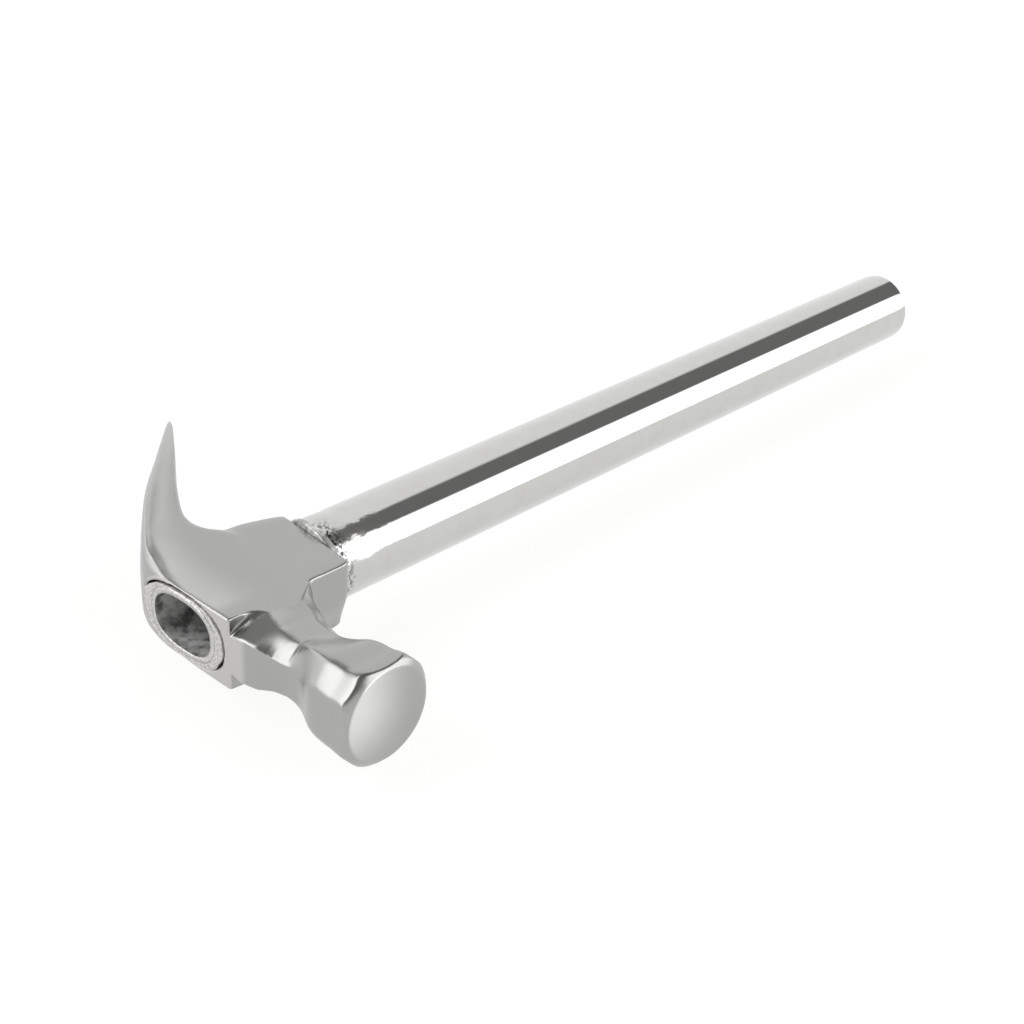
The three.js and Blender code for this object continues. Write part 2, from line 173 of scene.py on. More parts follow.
@dataclass(frozen=True)
class SatinNickelForging:
    """Drop-forged steel, belt polished and nickel plated: an even grey with a soft sheen.

    The grit of a real belt leaves marks finer than a pixel, so the grain is drawn coarser.
    """

    name: str = "satin_nickel_forging"
    colour: str = "#aaaaa8"
    dull_colour: str = "#a2a2a0"
    ground_colour: str = "#bfbebc"
    roughness: float = 0.27
    ground_roughness: float = 0.38
    grain_mm: float = 0.35
    wave_mm: float = 9.0
    cloud_mm: float = 22.0
    pit_mm: float = 1.6
    wave_bump_mm: float = 0.6
    wave_strength: float = 0.18
    grain_bump_mm: float = 0.05
    grain_strength: float = 0.07
    pit_bump_mm: float = 0.08
    pit_strength: float = 0.5
    pit_share: tuple[float, float] = (0.1, 0.3)
    ground_depth_mm: float = 0.35
    ground_mm: tuple[float, float] = (-32.0, -28.0)
    # Painted reflections: a lighter band below the crown on the cheeks, and a lighter striking
    # face.
    crown_start_mm: float = 13.0
    crown_power: float = 1.45
    crown_drop: float = 0.149
    reflection_band_mm: tuple[float, float] = (16.0, 0.0)
    cheek_reflection_gain: float = 0.32
    cheek_mm: tuple[float, float] = (9.4, 10.4)
    facing_share: tuple[float, float] = (0.45, 0.8)
    block_mm: tuple[float, float] = (-18.0, -12.0)
    face_mm: tuple[float, float] = (-65.6, -66.0)
    face_x_mm: tuple[float, float] = (22.0, 2.0)
    face_z_mm: tuple[float, float] = (-16.0, 6.0)
    face_reflection_gain: float = 0.85
    # Painted shade: hollows and creases take the darker colour below.
    hollow_shade_colour: str = "#6b6a68"
    hollow_shade_share: float = 0.8

    def make(self, site: Site) -> bpy.types.Material:
        """Build the material.

        Args:
            site: Where the hammer's axes lie.

        Returns:
            A procedural metal with polishing grain and soft forging waves, ground and
            speckled where the top of the head was faced off, with painted reflections on
            the cheeks and the face and painted shade in the hollows.
        """
        material = bpy.data.materials.new(self.name)
        tree = empty_tree(material)
        where = add_node(tree, "TexCoord").outputs["Object"]
        cloud = add_node(tree, "TexNoise",
                         {"Vector": where, "Scale": 1 / (self.cloud_mm * MM), "Detail": 3.0})
        tint = add_node(tree, "Mix", {0: cloud.outputs["Fac"], 6: linear(self.dull_colour),
                                      7: linear(self.colour)}, data_type="RGBA")
        parts = add_node(tree, "SeparateXYZ", {0: where}).outputs
        edge = site.origin.x + self.ground_depth_mm * MM
        bell, block = (site.origin.y + place * MM for place in self.ground_mm)
        ground = region(tree, (parts[0], edge + self.ground_depth_mm * MM, edge),
                        (parts[1], bell, block))
        # Painted reflections lighten the tint on the cheeks near the crown and on the face.
        reflection_gain = self._painted_reflection(tree, where, site)
        # rubbed is the tint lightened by these painted reflections.
        rubbed = add_node(tree, "Mix", {0: 1.0, 6: tint.outputs[2], 7: reflection_gain},
                          data_type="RGBA", blend_type="MULTIPLY")
        worn = add_node(tree, "Mix", {0: ground, 6: rubbed.outputs[2],
                                      7: linear(self.ground_colour)}, data_type="RGBA")
        # Painted shade: the colour darkens where the surface is hollow.
        hollow = add_node(tree, "Attribute", attribute_name="hollow").outputs["Fac"]
        hollow_shade = add_node(tree, "Math", {0: hollow, 1: self.hollow_shade_share}, operation="MULTIPLY")
        shade_tint = add_node(tree, "Mix", {0: hollow_shade.outputs[0], 6: worn.outputs[2],
                                         7: linear(self.hollow_shade_colour)}, data_type="RGBA")
        sheen = add_node(tree, "MapRange", {0: ground, 3: self.roughness,
                                            4: self.ground_roughness})
        grain = add_node(tree, "TexNoise",
                         {"Vector": where, "Scale": 1 / (self.grain_mm * MM), "Detail": 2.0})
        pits = add_node(tree, "TexVoronoi", {"Vector": where, "Scale": 1 / (self.pit_mm * MM)})
        pit = add_node(tree, "MapRange", {0: pits.outputs["Distance"], 1: self.pit_share[0],
                                          2: self.pit_share[1]})
        pitted = add_node(tree, "Math", {0: pit.outputs[0], 1: ground},
                          operation="MULTIPLY")
        wave = add_node(tree, "TexNoise",
                        {"Vector": where, "Scale": 1 / (self.wave_mm * MM), "Detail": 1.0})
        soft = add_node(tree, "Bump", {"Height": wave.outputs["Fac"],
                                       "Strength": self.wave_strength,
                                       "Distance": self.wave_bump_mm * MM})
        fine = add_node(tree, "Bump", {"Height": grain.outputs["Fac"], "Normal": soft.outputs[0],
                                       "Strength": self.grain_strength,
                                       "Distance": self.grain_bump_mm * MM})
        sunk = add_node(tree, "Bump", {"Height": pitted.outputs[0], "Normal": fine.outputs[0],
                                       "Strength": self.pit_strength,
                                       "Distance": self.pit_bump_mm * MM})
        shader = add_node(tree, "BsdfPrincipled", {
            "Base Color": shade_tint.outputs[2], "Metallic": 1.0,
            "Roughness": sheen.outputs[0], "Normal": sunk.outputs[0]})
        add_node(tree, "OutputMaterial", {"Surface": shader.outputs[0]})
        return material

    def _painted_reflection(self, tree: Any, where: Any, site: Site) -> Any:
        """Paint reflections into the colour: lighter cheeks along the crown line, and a lighter
        striking face that is lightest towards the top of the head and its upper side.

        Args:
            tree: The material's node tree.
            where: The output socket of the place on the object.
            site: Where the hammer's axes lie.

        Returns:
            The output socket of a grey factor, one away from the crown and the face.
        """
        local = add_node(tree, "VectorMath", {0: where, 1: site.origin}, operation="SUBTRACT")
        parts = add_node(tree, "SeparateXYZ", {0: local.outputs[0]}).outputs
        start = self.crown_start_mm * MM
        along = add_node(tree, "MapRange",
                         {0: parts[1], 1: start, 2: 1.0, 3: 0.0, 4: (1.0 - start) / MM})
        bend = add_node(tree, "Math", {0: along.outputs[0], 1: self.crown_power}, operation="POWER")
        crown = add_node(tree, "Math", {0: bend.outputs[0], 1: self.crown_drop * MM},
                         operation="MULTIPLY")
        below = add_node(tree, "Math", {0: parts[0], 1: crown.outputs[0]}, operation="SUBTRACT")
        side = add_node(tree, "Math", {0: parts[2]}, operation="ABSOLUTE")
        way = add_node(tree, "SeparateXYZ", {0: add_node(tree, "TexCoord").outputs["Normal"]})
        facing = add_node(tree, "Math", {0: way.outputs[2]}, operation="ABSOLUTE")
        cheek = region(tree, *((place, edge[0] * MM, edge[1] * MM) for place, edge in (
            (below.outputs[0], self.reflection_band_mm), (side.outputs[0], self.cheek_mm),
            (parts[1], self.block_mm))), (facing.outputs[0], *self.facing_share))
        face = region(tree, *((place, edge[0] * MM, edge[1] * MM) for place, edge in (
            (parts[1], self.face_mm), (parts[0], self.face_x_mm), (parts[2], self.face_z_mm))))
        gain = add_node(tree, "Math", {0: cheek, 1: self.cheek_reflection_gain, 2: 1.0},
                        operation="MULTIPLY_ADD")
        return add_node(tree, "Math", {0: face, 1: self.face_reflection_gain, 2: gain.outputs[0]},
                        operation="MULTIPLY_ADD").outputs[0]


@dataclass(frozen=True)
class ChromePlate:
    """Bright chrome on drawn steel tube: clear reflections that break up near the weld."""

    name: str = "bright_chrome_plate"
    colour: str = "#cacbcc"
    warm_colour: str = "#c3c1bc"
    roughness: float = 0.05
    rough_add: float = 0.12
    wave_mm: float = 5.0
    pit_mm: float = 0.8
    wave_bump_mm: float = 0.9
    wave_strength: float = 0.4
    pit_bump_mm: float = 0.12
    pit_strength: float = 0.3
    calm_mm: tuple[float, float] = (50.0, 74.0)
    scorch_colour: str = "#3b3b3e"
    scorch_mm: tuple[float, float] = (51.5, 46.5)
    scorch_y_mm: tuple[float, float] = (2.0, -5.0)
    scorch_size_mm: float = 1.1
    scorch_share: tuple[float, float] = (0.48, 0.6)

    def make(self, site: Site) -> bpy.types.Material:
        """Build the material.

        Args:
            site: Where the hammer's axes lie.

        Returns:
            A procedural chrome whose surface is uneven near the head.
        """
        material = bpy.data.materials.new(self.name)
        tree = empty_tree(material)
        where = add_node(tree, "TexCoord").outputs["Object"]
        along, across, _ = add_node(tree, "SeparateXYZ", {0: where}).outputs
        near = add_node(tree, "MapRange", {
            0: along, 1: site.at(self.calm_mm[0], 0, 0).x, 2: site.at(self.calm_mm[1], 0, 0).x,
            3: 1.0, 4: 0.0}, interpolation_type="SMOOTHSTEP")
        wave = add_node(tree, "TexNoise",
                        {"Vector": where, "Scale": 1 / (self.wave_mm * MM), "Detail": 2.5})
        pits = add_node(tree, "TexNoise",
                        {"Vector": where, "Scale": 1 / (self.pit_mm * MM), "Detail": 2.0})
        uneven = add_node(tree, "Math", {0: wave.outputs["Fac"], 1: near.outputs[0]},
                          operation="MULTIPLY")
        speck = add_node(tree, "Math", {0: pits.outputs["Fac"], 1: near.outputs[0]},
                         operation="MULTIPLY")
        dents = add_node(tree, "Bump", {"Height": uneven.outputs[0],
                                        "Strength": self.wave_strength,
                                        "Distance": self.wave_bump_mm * MM})
        fine = add_node(tree, "Bump", {"Height": speck.outputs[0], "Normal": dents.outputs[0],
                                       "Strength": self.pit_strength,
                                       "Distance": self.pit_bump_mm * MM})
        dull = add_node(tree, "MapRange", {0: near.outputs[0], 3: self.roughness,
                                           4: self.roughness + self.rough_add})
        tint = add_node(tree, "Mix", {0: wave.outputs["Fac"], 6: linear(self.warm_colour),
                                      7: linear(self.colour)}, data_type="RGBA")
        soot = add_node(tree, "TexNoise",
                        {"Vector": where, "Scale": 1 / (self.scorch_size_mm * MM), "Detail": 3.0})
        burnt = region(tree, (along, *(site.at(x, 0, 0).x for x in self.scorch_mm)),
                       (soot.outputs["Fac"], *self.scorch_share),
                       (across, *(site.at(0, y, 0).y for y in self.scorch_y_mm)))
        scorched = add_node(tree, "Mix", {0: burnt, 6: tint.outputs[2],
                                          7: linear(self.scorch_colour)}, data_type="RGBA")
        shader = add_node(tree, "BsdfPrincipled", {
            "Base Color": scorched.outputs[2], "Metallic": 1.0,
            "Roughness": dull.outputs[0], "Normal": fine.outputs[0]})
        add_node(tree, "OutputMaterial", {"Surface": shader.outputs[0]})
        return material


@dataclass(frozen=True)
class WorkedSteel:
    """Bare, ground or weld steel with speckles: light where rubbed and dull in its pits."""

    name: str
    colour: str
    dark_colour: str
    roughness: float
    speckle_mm: float
    bump_mm: float
    metallic: float = 1.0
    light_share: tuple[float, float] = (0.35, 0.6)
    dull_add: float = 0.15
    bump_strength: float = 0.5

    def make(self) -> bpy.types.Material:
        """Build the material.

        Returns:
            A procedural metal with speckled tone, sheen and height.
        """
        material = bpy.data.materials.new(self.name)
        tree = empty_tree(material)
        where = add_node(tree, "TexCoord").outputs["Object"]
        speckle = add_node(tree, "TexNoise",
                           {"Vector": where, "Scale": 1 / (self.speckle_mm * MM), "Detail": 4.0})
        share = add_node(tree, "MapRange", {0: speckle.outputs["Fac"],
                                            1: self.light_share[0], 2: self.light_share[1]})
        tint = add_node(tree, "Mix", {0: share.outputs[0], 6: linear(self.dark_colour),
                                      7: linear(self.colour)}, data_type="RGBA")
        sheen = add_node(tree, "MapRange", {0: share.outputs[0], 3: self.roughness + self.dull_add,
                                            4: self.roughness})
        height = add_node(tree, "Bump", {"Height": speckle.outputs["Fac"],
                                         "Strength": self.bump_strength,
                                         "Distance": self.bump_mm * MM})
        shader = add_node(tree, "BsdfPrincipled", {
            "Base Color": tint.outputs[2], "Metallic": self.metallic,
            "Roughness": sheen.outputs[0], "Normal": height.outputs[0]})
        add_node(tree, "OutputMaterial", {"Surface": shader.outputs[0]})
        return material


# Bare steel faced off on a belt: light and fairly dull, with fine specks.
GROUND_STEEL = WorkedSteel("ground_collar_steel", "#d3d2d0", "#b4b3b1", 0.36, 0.8, 0.03)
# A weld plated over without polishing: light, with a coarse, uneven gloss.
WELD_STEEL = WorkedSteel("plated_weld_bead", "#d2d2d0", "#a3a2a1", 0.4, 1.4, 0.12)
# The inside of drawn tube under its scale: dark, mottled and hardly metallic.
BORE_STEEL = WorkedSteel("scaled_bore_steel", "#8f8f8e", "#454544", 0.5, 3.0, 0.2, 0.2)


def mesh_object(name: str, mesh: bmesh.types.BMesh) -> bpy.types.Object:
    """Turn a bmesh into a smooth-shaded object at the origin.

    Args:
        name: The object's name.
        mesh: The finished mesh, which is freed here.

    Returns:
        The new object, linked to the scene.
    """
    data = bpy.data.meshes.new(name)
    mesh.to_mesh(data)
    mesh.free()
    made = bpy.data.objects.new(name, data)
    bpy.context.collection.objects.link(made)
    shade_smooth(made)
    return made


def shade_smooth(piece: bpy.types.Object) -> None:
    """Shade every face of a piece smoothly."""
    piece.data.polygons.foreach_set("use_smooth", [True] * len(piece.data.polygons))


def join_frame(piece: bpy.types.Object, node: str) -> None:
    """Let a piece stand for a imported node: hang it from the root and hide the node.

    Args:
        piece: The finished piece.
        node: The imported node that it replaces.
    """
    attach(piece, "root")
    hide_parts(node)
    LOG.info("%s: %d faces", piece.name, len(piece.data.polygons))


def sweep(rings: list[list[Vector]]) -> bmesh.types.BMesh:
    """Draw a skin through rings by extruding the first one from ring to ring.

    Args:
        rings: Closed rings of equally many points; the last one may repeat the first.

    Returns:
        The skin, with faces outwards and the seam merged.
    """
    mesh = bmesh.new()
    place = mesh.verts.layers.int.new("place")
    # The circle only gives the first ring its edges; its points move to their places at once.
    made = bmesh.ops.create_circle(mesh, cap_ends=False, segments=len(rings[0]), radius=MM)
    for index, vert in enumerate(made["verts"]):
        vert[place] = index
        vert.co = rings[0][index]
    rim = list(mesh.edges)
    for ring in rings[1:]:
        grown = bmesh.ops.extrude_edge_only(mesh, edges=rim)["geom"]
        fresh = {item for item in grown if isinstance(item, bmesh.types.BMVert)}
        for vert in fresh:
            vert.co = ring[vert[place]]
        rim = [item for item in grown
               if isinstance(item, bmesh.types.BMEdge) and fresh.issuperset(item.verts)]
    bmesh.ops.remove_doubles(mesh, verts=mesh.verts, dist=MERGE_M)
    bmesh.ops.recalc_face_normals(mesh, faces=mesh.faces)
    return mesh


@dataclass(frozen=True)
class Oval:
    """Rings across the handle's axis, between an ellipse and a rounded rectangle."""

    site: Site
    sides: int = 144
    rake: float = 0.1
    end_curve_mm: float = 2.3
    cheek_mm: float = 10.8

    def ring(self, depth: float, centre_y: float, half_y: float, half_z: float,
             power: float = 2.0, lean: float = 0.0) -> list[Vector]:
        """Lay out one ring.

        Args:
            depth: Its place down the handle, in millimetres.
            centre_y: Where its centre lies across the handle.
            half_y: Half its size towards the claw.
            half_z: Half its size between the cheeks.
            power: 2 for an ellipse, more for a squarer oval.
            lean: How much it follows the head's raked and curved end.

        Returns:
            The ring's points in metres.
        """
        points = []
        for side in range(self.sides):
            angle = 2 * math.pi * side / self.sides
            y, z = (half * math.copysign(abs(part) ** (2 / power), part)
                    for half, part in ((half_y, math.cos(angle)), (half_z, math.sin(angle))))
            curve = self.rake * y - self.end_curve_mm * (z / self.cheek_mm) ** 2
            points.append(self.site.at(depth + lean * curve, centre_y + y, z))
        return points


@dataclass(frozen=True)
class Zone:
    """A box on the hammer's axes in millimetres, the same on both cheeks."""

    low: tuple[float, float, float]
    high: tuple[float, float, float]

    def depth(self, local: Vector) -> float:
        """Give how far a point lies inside the box, below zero where it lies outside."""
        place = (local.x, local.y, abs(local.z))
        return min(min(place[i] - self.low[i], self.high[i] - place[i]) for i in range(3))


@dataclass
class ClawHead:
    """The forged head: bell, octagonal neck, eye block and slotted claws."""

    site: Site
    voxel_mm: float = 0.5
    fair_passes: int = 16
    soften_passes: int = 1
    crisp_angle_deg: float = 35.0
    bend_angle_deg: float = 18.0
    bend_width_mm: float = 3.5
    sliver_angle_deg: float = 10.0
    sliver_width_mm: float = 0.4
    crisp_reach_mm: float = 0.7
    fair_reach_mm: float = 3.0
    sample_mm: float = 0.5
    weight_steps: int = 8
    blended: tuple[Zone, ...] = (Zone((20.0, 0.0, 6.0), (33.0, 24.0, 20.0)),
                                 Zone((15.0, -34.0, -2.0), (32.0, -18.0, 10.7)))
    blend_passes: int = 70
    blend_edge_mm: float = 1.5
    slotted: Zone = Zone((-20.0, 24.0, -1.0), (90.0, 90.0, 9.2))
    slot_passes: int = 26
    hollow_mm: tuple[float, float] = (0.006, 0.03)
    hollow_passes: int = 2
    bell_growth_mm: float = 0.6
    corner_cut_mm: float = 3.0
    corner_x_mm: tuple[float, float] = (24.0, 38.0)
    corner_y_mm: tuple[float, float] = (-10.0, -19.0)
    corner_z_mm: tuple[float, float] = (2.0, -11.0)
    root_mm: tuple[float, float] = (-20.3, -29.0)
    root_depth_mm: tuple[float, float] = (16.0, 8.0)
    root_power: float = 1.8
    tip_mm: tuple[float, float] = (57.0, 62.0)
    crown_radius_mm: float = 260.0
    crown_mm: tuple[float, float] = (-58.0, -64.0)
    face_axis_mm: float = 12.2
    face_back_mm: float = 0.02
    finish: SatinNickelForging = field(default_factory=SatinNickelForging)

    def build(self, node: bpy.types.Object) -> bpy.types.Object:
        """Make the head's fine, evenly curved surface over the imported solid.

        Args:
            node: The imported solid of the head.

        Returns:
            The finished head.
        """
        mesh = bmesh.new()
        mesh.from_mesh(node.data)
        bmesh.ops.remove_doubles(mesh, verts=mesh.verts, dist=MERGE_M)
        crisp = self._crisp_points(mesh)
        head = mesh_object("forged_claw_head", mesh)
        skin = head.modifiers.new("skin", "REMESH")
        skin.mode = "VOXEL"
        skin.voxel_size = self.voxel_mm * MM
        self._apply(head)
        self._weigh(head, crisp)
        fair = head.modifiers.new("fair", "SMOOTH")
        fair.vertex_group = "fair"
        fair.iterations = self.fair_passes
        soften = head.modifiers.new("soften", "SMOOTH")
        soften.iterations = self.soften_passes
        blend = head.modifiers.new("blend", "SMOOTH")
        blend.vertex_group = "blend"
        blend.iterations = self.blend_passes
        slot = head.modifiers.new("slot", "SMOOTH")
        slot.vertex_group = "slot"
        slot.iterations = self.slot_passes
        self._apply(head)
        self._crown_face(head)
        self._round_corner(head)
        self._draw_in_root(head)
        self._mark_hollows(head)
        shade_smooth(head)
        head.data.materials.append(self.finish.make(self.site))
        join_frame(head, "claw_head")
        return head

    def _is_crisp(self, edge: bmesh.types.BMEdge) -> bool:
        """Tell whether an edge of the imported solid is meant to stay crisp.

        Args:
            edge: An edge between two faces.

        Returns:
            True for hard corners, for clear bends between wide faces and for narrow rounds.
        """
        if len(edge.link_faces) != 2:
            return False
        angle = math.degrees(edge.calc_face_angle(0.0))
        widths = [2 * face.calc_area() / edge.calc_length() for face in edge.link_faces]
        bend = angle > self.bend_angle_deg and max(widths) > self.bend_width_mm * MM
        sliver = angle > self.sliver_angle_deg and min(widths) < self.sliver_width_mm * MM
        return angle > self.crisp_angle_deg or bend or sliver

    def _crisp_points(self, mesh: bmesh.types.BMesh) -> kdtree.KDTree:
        """Mark points along every crisp edge.

        Args:
            mesh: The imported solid.

        Returns:
            A tree of the points.
        """
        points = []
        for edge in filter(self._is_crisp, mesh.edges):
            start, end = (vert.co for vert in edge.verts)
            middle = ((start + end) / 2 - self.site.origin) / MM
            if any(zone.depth(middle) > 0 for zone in self.blended):
                continue
            count = max(1, round((end - start).length / (self.sample_mm * MM)))
            points += [start.lerp(end, step / count) for step in range(count + 1)]
        tree = kdtree.KDTree(len(points))
        for index, point in enumerate(points):
            tree.insert(point, index)
        tree.balance()
        return tree

    def _weigh(self, head: bpy.types.Object, crisp: kdtree.KDTree) -> None:
        """Weigh each vertex by its distance to the crisp edges.

        Args:
            head: The remeshed head.
            crisp: Points along the crisp edges.
        """
        levels: dict[tuple[str, int], list[int]] = {}
        for vert in head.data.vertices:
            local = (vert.co - self.site.origin) / MM
            share = ramp(crisp.find(vert.co)[2] / MM, self.crisp_reach_mm, self.fair_reach_mm)
            share *= 1 - ramp(local.y, *self.tip_mm)
            deep = max(zone.depth(local) for zone in self.blended)
            weights = {"fair": share, "blend": smoothstep(deep / self.blend_edge_mm),
                       "slot": smoothstep(self.slotted.depth(local) / self.blend_edge_mm)}
            for name, weight in weights.items():
                levels.setdefault((name, round(weight * self.weight_steps)), []).append(vert.index)
        for name in ("fair", "blend", "slot"):
            head.vertex_groups.new(name=name)
        for (name, level), members in levels.items():
            head.vertex_groups[name].add(members, level / self.weight_steps, "REPLACE")

    def _crown_face(self, head: bpy.types.Object) -> None:
        """Let the striking face fall back slightly from its middle to its rim.

        Args:
            head: The faired head.
        """
        start, full = self.crown_mm
        for vert in head.data.vertices:
            local = (vert.co - self.site.origin) / MM
            if local.y < start:
                share = ramp(local.y, start, full)
                off = Vector((local.x - self.face_axis_mm, 0, local.z))
                fall = off.length_squared / (2 * self.crown_radius_mm) + self.face_back_mm
                vert.co.y += share * fall * MM
                grown = share * self.bell_growth_mm / self.face_axis_mm
                vert.co += Vector((max(off.x, 0.0), 0, off.z)) * grown * MM

    def _round_corner(self, head: bpy.types.Object) -> None:
        """Grind away the lower front corner of the skirt, as on the real forging.

        Args:
            head: The faired head.
        """
        for vert in head.data.vertices:
            local = (vert.co - self.site.origin) / MM
            share = (ramp(local.x, *self.corner_x_mm) * ramp(local.z, *self.corner_z_mm)
                     * ramp(local.y, *self.corner_y_mm))
            vert.co.y += share * self.corner_cut_mm * MM

    def _draw_in_root(self, head: bpy.types.Object) -> None:
        """Steepen the step from the eye block to the neck's front.

        Args:
            head: The faired head.
        """
        near, far = self.root_mm
        deep, shallow = self.root_depth_mm
        for vert in head.data.vertices:
            local = (vert.co - self.site.origin) / MM
            if far < local.y < near:
                share = ramp(local.x, deep, shallow)
                place = (local.y - near) / (far - near)
                drawn = near + (far - near) * place ** self.root_power
                vert.co.y += share * (drawn - local.y) * MM

    def _mark_hollows(self, head: bpy.types.Object) -> None:
        """Store how hollow the surface is at each vertex, for the painted shade in the corners.

        Args:
            head: The finished mesh of the head.
        """
        mesh = bmesh.new()
        mesh.from_mesh(head.data)
        mesh.normal_update()
        around = [[edge.other_vert(vert).index for edge in vert.link_edges] for vert in mesh.verts]
        places = [vert.co.copy() for vert in mesh.verts]
        level = []
        for vert, near in zip(mesh.verts, around):
            middle = sum((places[index] for index in near), Vector()) / len(near)
            level.append((middle - vert.co).dot(vert.normal) / MM)
        mesh.free()
        for _ in range(self.hollow_passes):
            level = [(level[index] + sum(level[other] for other in near)) / (1 + len(near))
                     for index, near in enumerate(around)]
        marked = head.data.attributes.new("hollow", "FLOAT", "POINT")
        marked.data.foreach_set("value", [ramp(value, *self.hollow_mm) for value in level])

    def _apply(self, piece: bpy.types.Object) -> None:
        """Apply a piece's modifiers to its mesh.

        Args:
            piece: The piece whose modifiers are used up.
        """
        depsgraph = bpy.context.evaluated_depsgraph_get()
        depsgraph.update()
        data = bpy.data.meshes.new_from_object(piece.evaluated_get(depsgraph))
        piece.modifiers.clear()
        piece.data = data


@dataclass
class TubeHandle:
    """The plated tube: an oval tenon through the eye, a shoulder and a long round grip."""

    site: Site
    length_mm: float = 334.0
    radius_mm: float = 12.7
    wall_mm: float = 1.6
    edge_round_mm: float = 0.4
    tenon_y_mm: float = 13.2
    tenon_z_mm: float = 9.1
    tenon_power: float = 2.5
    eye_offset_mm: float = 1.0
    shoulder_mm: float = 46.25
    shoulder_length_mm: float = 5.4
    calm_mm: float = 30.0
    calm_rows: int = 44
    grip_rows: int = 60
    shoulder_rows: int = 10
    swollen_share: float = 0.12
    edge_rows: int = 5
    ground_mm: float = 0.05
    ground_facing: float = 0.9
    dent_mm: float = 0.22
    dent_size_mm: float = 8.0
    dent_level: float = 0.5
    dent_start_share: float = 0.6
    dent_rise_share: float = 1 / 6
    finish: ChromePlate = field(default_factory=ChromePlate)

    def _wall(self, oval: Oval, margin: float) -> list[list[Vector]]:
        """Lay out one wall of the tube from the ground top to the butt.

        Args:
            oval: The maker of rings.
            margin: How far the wall stands outside the tube's outer skin.

        Returns:
            The wall's rings.
        """
        rings = [oval.ring(0, -self.eye_offset_mm, self.tenon_y_mm + margin,
                           self.tenon_z_mm + margin, self.tenon_power)]
        for row in range(self.shoulder_rows + 1):
            share = row / self.shoulder_rows
            swell = smoothstep(share / self.swollen_share)
            half_y = self.tenon_y_mm + (self.radius_mm - self.tenon_y_mm) * swell + margin
            half_z = self.tenon_z_mm + (self.radius_mm - self.tenon_z_mm) * swell + margin
            power = self.tenon_power + (2.0 - self.tenon_power) * swell
            rings.append(oval.ring(self.shoulder_mm + self.shoulder_length_mm * share, 0,
                                   half_y, half_z, power, 1 - share))
        start = self.shoulder_mm + self.shoulder_length_mm
        end = self.length_mm - self.edge_round_mm
        rough_end = start + self.calm_mm
        places = [start + self.calm_mm * row / self.calm_rows
                  for row in range(1, self.calm_rows + 1)]
        places += [rough_end + (end - rough_end) * row / self.grip_rows
                   for row in range(1, self.grip_rows + 1)]
        full = self.radius_mm + margin
        return rings + [oval.ring(place, 0, full, full) for place in places]

    def _edge(self, oval: Oval) -> list[list[Vector]]:
        """Lay out the rounded outer edge of the open butt, from the grip to its end face.

        Args:
            oval: The maker of rings.

        Returns:
            The edge's rings.
        """
        rings = []
        for row in range(1, self.edge_rows + 1):
            turn = math.pi / 2 * row / self.edge_rows
            depth = self.length_mm - self.edge_round_mm * (1 - math.sin(turn))
            half = self.radius_mm - self.edge_round_mm * (1 - math.cos(turn))
            rings.append(oval.ring(depth, 0, half, half))
        return rings

    def _dent(self, mesh: bmesh.types.BMesh) -> None:
        """Press shallow dents into the outer skin beside the weld.

        Args:
            mesh: The tube's mesh.
        """
        start = self.shoulder_mm + self.shoulder_length_mm * self.dent_start_share
        for vert in mesh.verts:
            local = (vert.co - self.site.origin) / MM
            outside = math.hypot(local.y, local.z) > self.radius_mm - self.wall_mm / 2
            share = (local.x - start) / self.calm_mm
            if not outside or not 0 < share < 1:
                continue
            fade = smoothstep(share / self.dent_rise_share) * (1 - smoothstep(share)) ** 2
            hollow = self.dent_level + noise.noise(local / self.dent_size_mm)
            depth = self.dent_mm * fade * max(0.0, hollow)
            inward = Vector((0, -local.y, -local.z)).normalized()
            vert.co += inward * depth * MM

    def build(self) -> bpy.types.Object:
        """Make the tube.

        Returns:
            The finished handle.
        """
        oval = Oval(self.site)
        outer = self._wall(oval, 0.0) + self._edge(oval)
        full = self.radius_mm - self.wall_mm
        bore = [oval.ring(self.length_mm, 0, full, full)] + self._wall(oval, -self.wall_mm)[::-1]
        mesh = sweep(outer + bore + outer[:1])
        self._dent(mesh)
        for face in mesh.faces:
            middle = face.calc_center_median() - self.site.origin
            towards = face.normal.dot(Vector((0, middle.y, middle.z)))
            cut = abs(face.normal.x) > self.ground_facing and middle.x < self.ground_mm * MM
            skin = Skin.GROUND if cut else Skin.BORE if towards < 0 else Skin.PLATED
            face.material_index = skin.value
        tube = mesh_object("chromed_tube_handle", mesh)
        for made in (self.finish.make(self.site), BORE_STEEL.make(), GROUND_STEEL.make()):
            tube.data.materials.append(made)
        join_frame(tube, "tube_handle")
        return tube


